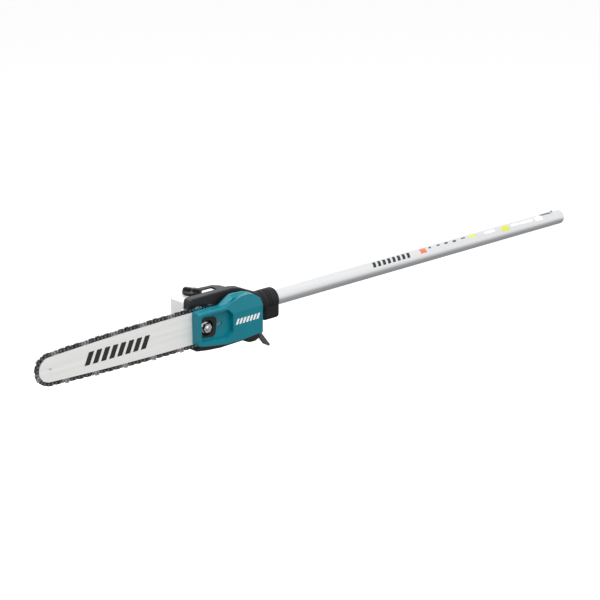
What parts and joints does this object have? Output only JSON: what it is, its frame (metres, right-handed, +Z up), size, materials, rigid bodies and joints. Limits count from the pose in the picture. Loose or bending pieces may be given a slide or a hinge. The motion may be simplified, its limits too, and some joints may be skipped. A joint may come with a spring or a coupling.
{
  "type": "pole saw attachment",
  "caption": "Pole saw attachment: aluminium pole with an inner drive shaft, bevel gear head, guide bar and chain, oil tank, sprocket cover and branch hook.",
  "frame": {"origin": "centre of the pole end face that goes into the power head coupling", "axes": "+X out of the pole end, along the pole and away from the saw head; +Z up; -Y is the sprocket cover side and +Y the oil tank side"},
  "size_m": [1.1549, 0.096, 0.1151],
  "materials": {
    "aluminium_tube": "satin anodised, drawn along its length",
    "cast_aluminium": "die cast, fine blasted grain",
    "machined_steel": "turned and ground",
    "bearing_steel": "ground",
    "spring_steel": "phosphated",
    "zinc_plated_steel": "bright zinc plate",
    "black_screw_steel": "black oxide",
    "bar_steel": "light grey baked paint",
    "plate_steel": "rolled sheet",
    "chain_dark_steel": "blued and oiled",
    "chain_rivet_steel": "peened heads",
    "cutter_chrome": "hard chromed cutting faces",
    "hook_steel": "black coated spring steel",
    "teal_plastic": "moulded nylon, fine texture",
    "black_plastic": "moulded glass-filled nylon",
    "black_rubber": "moulded rubber",
    "tank_plastic": "translucent polyethylene",
    "white_nylon": "moulded",
    "pump_metal": "sintered metal"
  },
  "bodies": {
    "head": {"bar_backing_plate": "plate_steel", "bar_guide_plate": "plate_steel", "bar_nut": "zinc_plated_steel", "bar_stud": "zinc_plated_steel", "bearing_balls": "bearing_steel", "bearing_outer_rings": "bearing_steel", "branch_hook": "hook_steel", "branch_hook_screws": "black_screw_steel", "chain_drive_links": "chain_dark_steel", "chain_left_cutters": "cutter_chrome", "chain_right_cutters": "cutter_chrome", "chain_rivets": "chain_rivet_steel", "chain_tie_straps": "chain_dark_steel", "clamp_bolts": "black_screw_steel", "gear_case": "cast_aluminium", "gear_case_cap": "cast_aluminium", "gear_case_cap_screws": "black_screw_steel", "locating_pin": "machined_steel", "lower_guard": "black_plastic", "lower_guard_screws": "black_screw_steel", "nut_recess_insert": "black_plastic", "oil_filter": "white_nylon", "oil_outlet_tube": "pump_metal", "oil_pickup_hose": "black_rubber", "oil_pump_body": "pump_metal", "oil_pump_screws": "black_screw_steel", "oil_tank": "tank_plastic", "pole_collar": "black_rubber", "pole_tube": "aluminium_tube", "retaining_ring": "spring_steel", "shaft_bushings": "white_nylon", "side_housing": "black_plastic", "side_housing_screws": "black_screw_steel", "sprocket_cover": "teal_plastic", "tank_screws": "black_screw_steel", "upper_housing": "black_plastic", "upper_housing_screws": "black_screw_steel"},
    "drive_line": {"drive_shaft": "machined_steel", "bevel_pinion": "machined_steel", "pinion_bearing_inner_rings": "bearing_steel"},
    "spindle_group": {"spindle": "machined_steel", "bevel_gear": "machined_steel", "spindle_bearing_inner_rings": "bearing_steel", "drive_sprocket": "machined_steel", "sprocket_washer": "machined_steel", "sprocket_clip": "spring_steel", "pump_drive_gear": "black_plastic"},
    "pump_plunger": {"oil_pump_plunger": "pump_metal"},
    "bar_group": {"guide_bar": "bar_steel", "nose_bearing_race": "bar_steel", "nose_rivets": "bar_steel", "tension_slider": "machined_steel"},
    "nose_wheel": {"nose_sprocket": "bar_steel"},
    "adjuster_screw": {"tension_screw": "machined_steel"},
    "adjuster_rod": {"tension_rod": "machined_steel"},
    "cap_seal": {"cap_gasket": "black_rubber"},
    "filler_cap": {"oil_cap": "black_plastic"}
  },
  "joints": [
    {"name": "drive_spin", "type": "hinge", "parent": "head", "child": "drive_line", "pos_m": [-0.4, 0, 0], "axis": [1, 0, 0], "continuous": true},
    {"name": "spindle_spin", "type": "hinge", "parent": "head", "child": "spindle_group", "pos_m": [-0.787, 0, 0], "axis": [0, 1, 0], "continuous": true},
    {"name": "pump_spin", "type": "hinge", "parent": "head", "child": "pump_plunger", "pos_m": [-0.8006, 0.03, 0], "axis": [0, 1, 0], "continuous": true},
    {"name": "bar_tension", "type": "slide", "parent": "head", "child": "bar_group", "axis": [1, 0, 0], "range_m": [0, 0.006]},
    {"name": "nose_spin", "type": "hinge", "parent": "bar_group", "child": "nose_wheel", "pos_m": [-1.124, -0.022, -0.002], "axis": [0, 1, 0], "continuous": true},
    {"name": "adjuster_screw_turn", "type": "hinge", "parent": "head", "child": "adjuster_screw", "pos_m": [-0.832, -0.026, -0.002], "axis": [0, -1, 0], "range_deg": [0, 2700.1]},
    {"name": "adjuster_rod_turn", "type": "hinge", "parent": "head", "child": "adjuster_rod", "pos_m": [-0.82, -0.0136, -0.002], "axis": [-1, 0, 0], "range_deg": [0, 2700.1]},
    {"name": "cap_lift", "type": "slide", "parent": "head", "child": "cap_seal", "axis": [0, 0, 1], "range_m": [0, 0.04]},
    {"name": "cap_turn", "type": "hinge", "parent": "cap_seal", "child": "filler_cap", "pos_m": [-0.832, 0.03, 0.034], "axis": [0, 0, 1], "range_deg": [0, 720]}
  ],
  "couplings": [
    {"joint": "spindle_spin", "follows": "drive_spin", "ratio": -0.66667},
    {"joint": "pump_spin", "follows": "drive_spin", "ratio": 0.46667},
    {"joint": "nose_spin", "follows": "drive_spin", "ratio": -0.53333},
    {"joint": "adjuster_screw_turn", "follows": "bar_tension", "rad_per_m": 7854},
    {"joint": "adjuster_rod_turn", "follows": "bar_tension", "rad_per_m": 7854}
  ]
}
